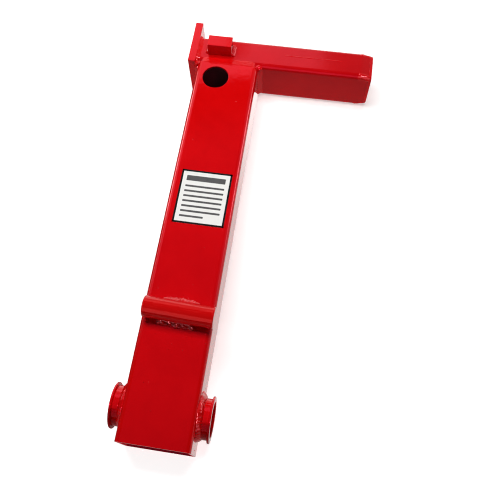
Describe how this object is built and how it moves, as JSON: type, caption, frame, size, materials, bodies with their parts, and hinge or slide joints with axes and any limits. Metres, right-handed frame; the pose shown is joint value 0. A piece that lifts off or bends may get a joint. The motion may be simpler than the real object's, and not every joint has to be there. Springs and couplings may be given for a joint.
{
  "type": "tubular steel lift arm",
  "caption": "Welded L-shaped lift arm of rectangular steel tube: long leg with a flanged pivot sleeve, short tapered arm, end plate, pin hole and stop block, round cross bar.",
  "frame": {"origin": "centre of the pivot bore, on the long tube's centre line", "axes": "+X along the short arm and the pivot axis, +Y along the long tube towards the arm, +Z out of the wide face that carries the label and the cross bar"},
  "size_m": [0.3069, 0.6888, 0.1062],
  "materials": {
    "red_paint": "gloss red enamel over mill-finish tube",
    "red_paint_weld": "gloss red enamel over rough weld bead",
    "label_film": "printed white film with a black frame and plain grey bars"
  },
  "bodies": {
    "root": {"long_tube": "red_paint", "arm_tube": "red_paint", "arm_end_cap": "red_paint", "end_plate": "red_paint", "stop_block": "red_paint", "cross_bar": "red_paint", "pivot_sleeve": "red_paint", "left_flange_ring": "red_paint", "right_flange_ring": "red_paint", "label_sheet": "label_film", "arm_front_seam_weld": "red_paint_weld", "arm_back_seam_weld": "red_paint_weld", "inner_corner_weld": "red_paint_weld", "outer_corner_weld": "red_paint_weld", "plate_top_weld": "red_paint_weld", "plate_front_weld": "red_paint_weld", "plate_lower_weld": "red_paint_weld", "block_left_weld": "red_paint_weld", "block_right_weld": "red_paint_weld", "bar_upper_weld": "red_paint_weld", "bar_lower_weld": "red_paint_weld", "left_sleeve_weld": "red_paint_weld", "right_sleeve_weld": "red_paint_weld", "tip_corner_welds": "red_paint_weld"}
  },
  "joints": []
}
